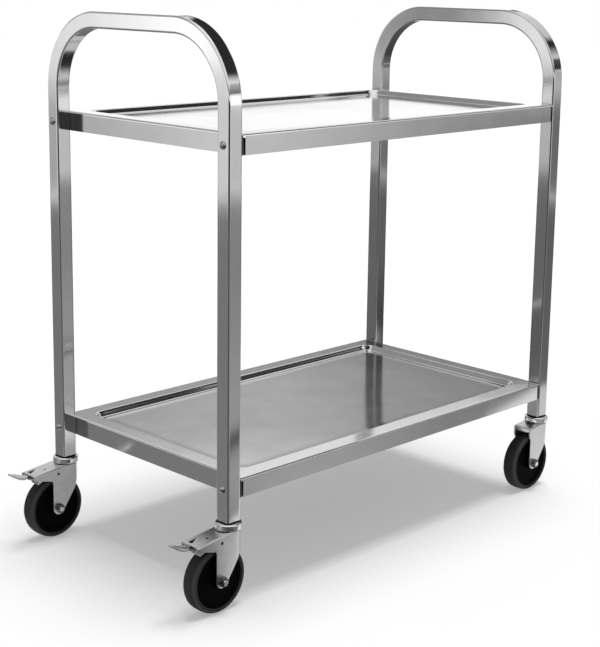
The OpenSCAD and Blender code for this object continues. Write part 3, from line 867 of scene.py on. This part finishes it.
def foot_leaf(tip, width):
    """Leaf of the pedal: cross-sections are flat rings bent over a crown, as wide as the gap between two
    arcs, placed along a slope that falls from the tip."""
    half = width / 2
    arc = (PEDAL_LENGTH ** 2 / 4 + half ** 2) / (2 * half)
    crown = (half ** 2 + PEDAL_CROWN ** 2) / (2 * PEDAL_CROWN)
    along = PEDAL_LENGTH / 2 * (1 - np.cos(np.linspace(0, np.pi, 33)))
    spread = np.sqrt(arc ** 2 - (along - PEDAL_LENGTH / 2) ** 2) - (arc - half)
    edge = np.minimum(PEDAL_PLATE / 2, spread)[:, None]
    flat = spread[:, None] - edge
    turn = np.linspace(-np.pi / 2, np.pi / 2, 7)
    share = np.linspace(-1, 1, 15)[1:-1]
    across = np.hstack([flat * share, flat + edge * np.cos(turn[::-1]), flat * share[::-1],
                        -flat - edge * np.cos(turn)])
    lift = np.hstack([edge + 0 * share, edge * np.sin(turn[::-1]), -edge + 0 * share, edge * np.sin(turn)])
    tilt = across / crown
    y = (crown + lift) * np.sin(tilt)
    up = (crown + lift) * np.cos(tilt) - crown
    x = along[:, None]
    rise = math.sin(PEDAL_SLOPE)
    level = math.cos(PEDAL_SLOPE)
    return (points_of(tip[0] + x * level + up * rise, tip[1] + y, tip[2] - x * rise + up * level), True)


def pedal_arm(pin, tip):
    """Arm from the knuckle under the tail and up a narrower neck: a flat rounded section carried along a bent
    line."""
    reach = ARM_END - TRAIL
    neck_x = -reach - NECK_REACH
    neck_z = tip[2] - pin[2] - (pin[0] + neck_x - tip[0]) * math.tan(PEDAL_SLOPE)
    line = eased([(0, 0), (-reach, -ARM_DROP), (neck_x, neck_z)], ARM_BEND, 7)
    straight = line[:1] + (line[1:2] - line[:1]) * np.linspace(0.1, 0.97, 6)[:, None]
    line = joined(line[:1], straight, line[1:])
    path = points_of(pin[0] + line[:, 0], pin[1], pin[2] + line[:, 1])
    ahead = np.gradient(path, axis=0)
    ahead /= np.linalg.norm(ahead, axis=1, keepdims=True)
    across = (0.0, 1.0, 0.0)
    up = np.cross(ahead, across)
    wide = np.interp(-line[:, 0], [reach - NECK_TAPER, reach], [ARM_WIDTH / 2, NECK_WIDTH / 2])
    rings = swept(path, across, up, rounded_loops(wide, PEDAL_PLATE / 2, ARM_EDGE, [], 5))
    first, last = (np.broadcast_to(rings[end].mean(axis=0), (1,) + rings.shape[1:]) for end in (0, -1))
    return (joined(first, rings, last), True)


def brake_shoe(pin, wheel_radius, axle_drop):
    """Shoe under the arm: a prism whose lower face lies along the tyre when the pedal is pressed down."""
    clear = wheel_radius + AIR
    lean = math.asin(SHOE_REACH / clear)
    cosine = math.cos(PEDAL_TRAVEL)
    sine = math.sin(PEDAL_TRAVEL)
    turn = np.array([[cosine, sine], [-sine, cosine]])
    face = turn @ [-SHOE_REACH, clear * math.cos(lean) - axle_drop]
    ahead = turn @ [math.cos(lean), math.sin(lean)]
    ends = np.array([-SHOE_REACH - SHOE_LENGTH / 2, -SHOE_REACH + SHOE_LENGTH / 2])
    under = face[1] + (ends - face[0]) * ahead[1] / ahead[0]
    outline = eased([(ends[0], 0), (ends[0], under[0]), (ends[1], under[1]), (ends[1], 0)], SHOE_EASE)
    points = points_of(pin[0] + outline[:, 0], pin[1], pin[2] + outline[:, 1])
    return prism(points, (0, 1, 0), -ARM_WIDTH / 2, ARM_WIDTH)


def knuckle(pin):
    """Knuckle of the arm: a short sleeve turned about the pedal's pin."""
    half = ARM_WIDTH / 2
    profile = [(PIN_HOLE, -half), (KNUCKLE_RADIUS, -half), (KNUCKLE_RADIUS, half), (PIN_HOLE, half),
               (PIN_HOLE, -half)]
    return turned(profile, pin, (0, 1, 0), PIN_STEPS)


def pierce_fork(hood, stem, tail, half, axle, pin):
    """Holes of a braked fork: one across it for the pedal's pin, and a dot and a three-cornered slot in its
    top plate."""
    through = 2 * half + 2 * CUT_PAST
    rod = [(0, 0), (PIN_HOLE, 0), (PIN_HOLE, through), (0, through)]
    cut(hood, [turned(rod, (pin[0], pin[1] - through / 2, pin[2]), (0, 1, 0), PIN_STEPS)])
    foot = axle[2] + CROOK_HEIGHT
    rod = [(0, 0), (DOT_RADIUS, 0), (DOT_RADIUS, CUT_HEIGHT), (0, CUT_HEIGHT)]
    dot = (stem[0] - DOT_PLACE[0], stem[1] - DOT_PLACE[1], foot)
    cut(hood, [turned(rod, dot, (0, 0, 1), DOT_STEPS)])
    slot_x = stem[0] - tail + SLOT_INSET
    slot_y = stem[1] + SLOT_WIDTH
    outline = [(slot_x, stem[1], foot), (slot_x, slot_y, foot), (slot_x + SLOT_LENGTH, slot_y, foot)]
    cut(hood, [prism(outline, (0, 0, 1), 0, CUT_HEIGHT)])


def caster(corner):
    """All pieces of one corner's caster, in the places of its nodes."""
    fork_body = corner + "_fork_body"
    wheel_body = corner + "_wheel_body"
    braked = corner + "_brake_pedal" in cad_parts

    def box(node):
        """Box of one of this corner's nodes."""
        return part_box(corner + "_" + node)

    def made(part, grids, body, slot, node, look=None, open_sheet=False):
        """One of this corner's pieces."""
        return piece(corner + "_" + part, grids, body, slot, corner + "_" + node, look, open_sheet)

    stem = middle(*box("king_pin"))[:2]
    leg_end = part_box("left_end_frame")[0].z
    made("plug", leg_plug(*box("leg_plug"), leg_end), CART, "black_plastic", "leg_plug")
    made("cup", swivel_cup(*box("swivel_cup")), CART, "bright_plating", "swivel_cup")

    low, high = box("tyre")
    axle = np.array((low + high) / 2)
    wheel_radius = (high.z - low.z) / 2
    tyre_half = (high.y - low.y) / 2
    rubber = made("rubber", tyre(axle, wheel_radius, tyre_half), wheel_body, "tyre_rubber", "tyre")
    # Painted highlight round the tyre's shoulders
    store(rubber.data, "painted_highlight", "POINT", painted_shoulder_highlight(rubber.data, axle, wheel_radius, tyre_half))
    low, high = box("wheel_core")
    core = wheel_core(axle, wheel_radius - TYRE_DEPTH, tyre_half - CORE_RECESS, (high.y - low.y) / 2)
    made("core", core, wheel_body, "wheel_plastic", "wheel_core")

    low, high = box("fork")
    half = (high.y - low.y) / 2
    tail = stem[0] - low.x
    drop = TAIL_DROP if braked else TAIL_DROP / 2
    plate = fork_plate(stem, tail, half, high.z, axle[2], drop, braked)
    hood = made("hood", plate, fork_body, "zinc_plating", "fork", open_sheet=True)
    thicken(hood, FORK_PLATE)
    edge = hood.modifiers.new("edge", "BEVEL")
    edge.width = FORK_EASE
    edge.segments = 2
    edge.limit_method = "ANGLE"
    edge.angle_limit = EASED_ANGLE
    settle(hood)

    low, high = box("axle_nut")
    flats = high.z - low.z
    nut = hexagon(flats, high.y - low.y, (axle[0], high.y, axle[2]), (0, -1, 0), AXLE_RADIUS)
    made("axle_hex", [nut], fork_body, "bolts", "axle_nut", "axle_nuts")
    reach = box("axle_bolt")[1].y - axle[1] - half
    made("axle", axle_bolt(axle, half, reach, flats), fork_body, "bolts", "axle_bolt")

    if braked:
        pin = np.array([axle[0], axle[1], 2 * wheel_radius + PIN_LIFT])
        pierce_fork(hood, stem, tail, half, axle, pin)
        low, high = box("brake_pedal")
        tip = np.array([low.x + PEDAL_PLATE / 2 * math.sin(PEDAL_SLOPE), stem[1], pin[2] + PEDAL_RISE])
        shoe = brake_shoe(pin, wheel_radius, pin[2] - axle[2])
        pedal = [knuckle(pin), pedal_arm(pin, tip), foot_leaf(tip, high.y - low.y), shoe]
        made("pedal", pedal, corner + "_pedal_body", "zinc_plating", "brake_pedal")


for corner in CORNERS:
    caster(corner)

# CAD nodes that keep their shape and take a finish
# The pedal pin takes the near-black finish as painted shade in its hole
KEPT = {"king_pin": "inner_steel", "swivel_balls": "bright_plating", "axle_sleeve": "inner_steel",
        "pedal_pin": "dark_pin", "brake_spring": "inner_steel"}
for name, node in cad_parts.items():
    for part, slot in KEPT.items():
        if name.endswith(part):
            node.data.materials.clear()
            node.data.materials.append(FINISHES[slot])


# Floor

FLOOR_REACH = 14.0
FLOOR_TONE = (0.955, 0.975)
FLOOR_CLOUDS = 3.0
FLOOR_LIFT = 0.34


def seen_rays(finish):
    """One for rays that the camera sees directly, in a reflection or through glass, else zero."""
    direct, mirrored, through = (finish.node("LightPath", out="Is %s Ray" % kind)
                                 for kind in ("Camera", "Glossy", "Transmission"))
    return direct.larger(mirrored).larger(through)


def stage_piece(name, points, material):
    """Studio object of one grid of points."""
    mesh = bpy.data.meshes.new(name)
    mesh.from_pydata(points.reshape(-1, 3), [], grid_faces(points, 0, False))
    mesh.materials.append(material)
    made = placed(name, mesh)
    return made


def floor_paper():
    """Matt white paper that lifts a little towards white where it is seen, so that it keeps its shadow."""
    finish = Finish(bpy.data.materials.new("studio_floor"))
    clouds = finish.noise(FLOOR_CLOUDS)
    diffuse = finish.node("BsdfDiffuse", {}, {"Color": finish.tint(clouds, FLOOR_TONE)})
    glow = finish.node("Emission", {}, {"Color": grey(1.0), "Strength": 1.0})
    return finish.blend(FLOOR_LIFT * seen_rays(finish), diffuse, glow)


east, north = np.meshgrid(*[np.linspace(-FLOOR_REACH, FLOOR_REACH, 9)] * 2)
stage_piece("studio_floor", points_of(east, north, 0.0), floor_paper())


# Cards that only the polished steel sees

def card_material():
    """Unlit card: its own shade and cover attributes give its grey and how much it hides."""
    finish = Finish(bpy.data.materials.new("studio_card"))
    clear = finish.node("BsdfTransparent")
    shine = finish.node("Emission", {}, {"Color": finish.mark("shade", "Color"), "Strength": 1.0})
    return finish.blend(finish.mark("cover"), clear, shine)


CARD = card_material()
CARD_ROWS = 33
WALL_COLUMNS = 97
DOME_COLUMNS = 49
NO_FADE = 1e-6


def card(name, points, shade, cover):
    """Studio card seen in reflections alone, with a shade and a cover at each point of its grid."""
    made = stage_piece(name, points, CARD)
    store(made.data, "shade", "POINT", np.broadcast_to(shade, points.shape[:2]))
    store(made.data, "cover", "POINT", np.broadcast_to(cover, points.shape[:2]))
    for rays in ("camera", "diffuse", "shadow", "transmission", "volume_scatter"):
        setattr(made, "visible_" + rays, False)


def soft_edges(columns, fades):
    """Cover of a card: along its length and its height it rises from nothing over a fade, a share of that
    side, holds, and falls again."""
    length, height = (np.linspace(0, 1, count) for count in (columns, CARD_ROWS))
    along = np.clip(np.minimum(length, 1 - length) / fades[0], 0, 1)
    upright = np.clip(np.minimum(height, 1 - height) / fades[1], 0, 1)
    return upright[:, None] * along


def shade_at(degrees, stops):
    """Shade between (azimuth, shade) stops."""
    return np.interp(degrees, *zip(*stops))


def hump(value, centre, width):
    """Bell curve: one at a centre, falling to 1/e a width away."""
    return np.exp(-((value - centre) / width) ** 2)


def wall_card(name, radius, heights, stops, fades, foot=1.0):
    """Upright part of a cylinder round the cart between two heights, shaded through (azimuth, shade) stops,
    with foot the share of that shade at its lower edge."""
    degrees = np.linspace(stops[0][0], stops[-1][0], WALL_COLUMNS)
    azimuth = np.radians(degrees)
    height = np.linspace(*heights, CARD_ROWS)[:, None]
    points = points_of(radius * np.cos(azimuth), radius * np.sin(azimuth), height)
    shade = shade_at(degrees, stops) * np.linspace(foot, 1, CARD_ROWS)[:, None]
    card(name, points, shade, soft_edges(WALL_COLUMNS, fades))


def dome_card(name, radius, azimuths, elevations, shade, fades):
    """Part of a sphere round the cart between two azimuths and two elevations."""
    azimuth = np.radians(np.linspace(*azimuths, DOME_COLUMNS))
    elevation = np.radians(np.linspace(*elevations, CARD_ROWS))[:, None]
    points = radius * points_of(np.cos(azimuth) * np.cos(elevation), np.sin(azimuth) * np.cos(elevation),
                                np.sin(elevation))
    card(name, points, shade, soft_edges(DOME_COLUMNS, fades))


MAT_REACH = 3.9
MAT_LIFT = 1.5 * MM
MAT_STOPS = ((-180, 0.26), (-60, 0.32), (-48, 0.27), (-36, 0.21), (-30, 0.20), (-23, 0.08), (0, 0.12),
             (60, 0.20), (180, 0.26))
MAT_FADES = (0.004, 0.08)
CAMERA_SIDE = (-135, 34)
PAPER_TONGUE = (-26, 13)
PAPER_RADIUS = 0.50
TONGUE_LENGTH = 0.72
CAMERA_CUT = 0.10
CAMERA_DARK = 0.72
GLOW_SIDE = (-85, 40)
GLOW_SHADE = 0.15
GLOW_REACH = 2.0
GLOW_FADE = 1.3
EDGE_RADIUS = 0.7115
EDGE_SLANT = 0.0083
EDGE_WIDTH = 0.035
EDGE_MIDDLE = -85
EDGE_SPAN = 25
EDGE_FADE = 8
EDGE_DARK = 0.92


def grey_floor():
    """Ring of grey floor round the white paper, by azimuth and distance. The paper has a tongue to the right
    and is cut back towards the camera. The ring's shade runs through stops, with a glow near the front, and
    is darker on the camera's side and along a slanting edge at the front."""
    degrees = np.linspace(-180, 180, 241)
    azimuth = np.radians(degrees)
    out = np.linspace(0, 1, 61)[:, None] ** 2
    camera_side = hump(degrees, *CAMERA_SIDE)
    paper = PAPER_RADIUS + TONGUE_LENGTH * hump(degrees, *PAPER_TONGUE) - CAMERA_CUT * camera_side
    distance = paper + (MAT_REACH - paper) * out
    points = points_of(distance * np.cos(azimuth), distance * np.sin(azimuth), MAT_LIFT)
    glow = GLOW_SHADE * hump(degrees, *GLOW_SIDE) * np.clip((GLOW_REACH - distance) / GLOW_FADE, 0, 1)
    edge_place = EDGE_RADIUS + EDGE_SLANT * (degrees - EDGE_MIDDLE)
    edge_ends = np.clip((EDGE_SPAN - np.abs(degrees - EDGE_MIDDLE)) / EDGE_FADE, 0, 1)
    edge = hump(distance, edge_place, EDGE_WIDTH) * edge_ends
    shade = (shade_at(degrees, MAT_STOPS) + glow) * (1 - CAMERA_DARK * camera_side) * (1 - EDGE_DARK * edge)
    cover = np.clip(out / MAT_FADES[0], 0, 1) * np.clip((1 - out) / MAT_FADES[1], 0, 1)
    card("grey_floor", points, shade, cover)


# A grey floor, a grey band above the horizon, walls near and far to both sides, one behind the cart and one
# behind the camera, a dark ceiling to the right, a grey one to the left and a bright soft box overhead
NEAR = (4.0, (-0.3, 0.50))
FAR = (11.6, (-0.5, 2.1))
grey_floor()
wall_card("grey_band", 12.0, (2.15, 4.7), (
    (-180, 0.3), (-75, 0.95), (-50, 0.95), (-43, 0.18), (-30, 0.16), (0, 0.35), (36, 0.45), (40, 0.53),
    (46, 0.73), (52, 0.58), (75, 0.4), (120, 0.20), (139, 0.20), (145, 0.5), (155, 0.5), (180, 0.3)),
    (NO_FADE, 0.14), foot=0.1)
wall_card("near_right_wall", *NEAR, (
    (-72, 0.72), (-50, 0.70), (-42, 0.42), (-35, 0.27), (-10, 0.2), (0, 0.2)), (0.12, 0.2))
wall_card("far_right_wall", *FAR, (
    (-80, 1.0), (-70, 1.5), (-48, 1.5), (-42, 0.8), (-34, 0.75), (-12, 0.6)), (0.1, 0.1))
wall_card("near_left_wall", *NEAR, (
    (108, 0.46), (126, 0.48), (132, 0.64), (138, 0.88), (160, 0.8)), (0.12, 0.2))
wall_card("far_left_wall", *FAR, (
    (104, 0.8), (125, 0.9), (129, 1.2), (132.6, 1.6), (134.3, 1.4), (136, 0.5), (139.5, 0.42), (141.5, 0.8),
    (143, 1.6), (150, 1.5), (168, 0.6)), (0.1, 0.1))
wall_card("back_wall", 11.5, (-0.5, 2.4), ((8, 1.0), (20, 1.25), (70, 1.25), (82, 1.0)), (0.1, 0.1))
wall_card("camera_wall", 3.6, (-0.3, 0.85), ((172, 0.05), (275, 0.05)), (0.12, 0.15))
dome_card("dark_ceiling", 9.0, (-52, -11), (24, 62), 0.03, (0.16, 0.2))
dome_card("grey_ceiling", 9.5, (66, 154), (26, 62), 0.34, (0.2, 0.2))
dome_card("soft_box", 8.0, (0, 360), (66, 90), 1.3, (NO_FADE, 0.3))

# A small dark flag just inside the left handle, which its front bend mirrors as a black streak
FLAG_GAP = 30 * MM
FLAG_BELOW = 20 * MM
FLAG_ABOVE = 46 * MM
FLAG_BEFORE = 7.5 * MM
FLAG_BEHIND = 147.5 * MM
low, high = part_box("left_end_frame")
flag_y = np.linspace(low.y - FLAG_BEFORE, low.y + FLAG_BEHIND, DOME_COLUMNS)
flag_z = np.linspace(high.z - FLAG_BELOW, high.z + FLAG_ABOVE, CARD_ROWS)[:, None]
flag = points_of(high.x + FLAG_GAP, flag_y, flag_z)
card("handle_flag", flag, 0.03, soft_edges(DOME_COLUMNS, (0.15, 0.15)))


# Light

AMBIENT = 0.32
SUN_SHARE = 0.76
SUN_WIDTH = math.radians(26)
SUN_FROM = Vector((0.10, -0.02, 1.0))

world = bpy.data.worlds.new("studio")
bpy.context.scene.world = world
finish = Finish(world)
back = finish.node("Background", {}, {
    "Color": grey(1.0), "Strength": AMBIENT + (1 - AMBIENT) * seen_rays(finish)})
finish.node("OutputWorld", {}, {"Surface": back})

lamp = bpy.data.lights.new("soft_sky", "SUN")
lamp.energy = SUN_SHARE * math.pi
lamp.angle = SUN_WIDTH
sky = placed("soft_sky", lamp)
sky.visible_glossy = False
sky.matrix_world = SUN_FROM.to_track_quat("Z", "Y").to_matrix().to_4x4()


# Camera

CAMERA_PLACE = Vector((-1.6484, -1.6481, 0.9063))
CAMERA_YAW = math.radians(45.137)
CAMERA_PITCH = math.radians(11.548)
CAMERA_ROLL = math.radians(0.809)
FOCAL_PIXELS = 1454.0
IMAGE_WIDTH = 600
SHIFT_PIXELS = 60
SENSOR_WIDTH = 36.0

lens = bpy.data.cameras.new("camera")
lens.sensor_fit = "HORIZONTAL"
lens.sensor_width = SENSOR_WIDTH
lens.lens = SENSOR_WIDTH * FOCAL_PIXELS / IMAGE_WIDTH
lens.shift_y = -SHIFT_PIXELS / IMAGE_WIDTH
lens.clip_end = 100.0
camera = placed("camera", lens)
yaw = Matrix.Rotation(-CAMERA_YAW, 4, "Z")
pitch = Matrix.Rotation(math.pi / 2 - CAMERA_PITCH, 4, "X")
roll = Matrix.Rotation(CAMERA_ROLL, 4, "Z")
camera.matrix_world = Matrix.Translation(CAMERA_PLACE) @ yaw @ pitch @ roll
bpy.context.scene.camera = camera
bpy.context.scene.view_settings.view_transform = "Standard"
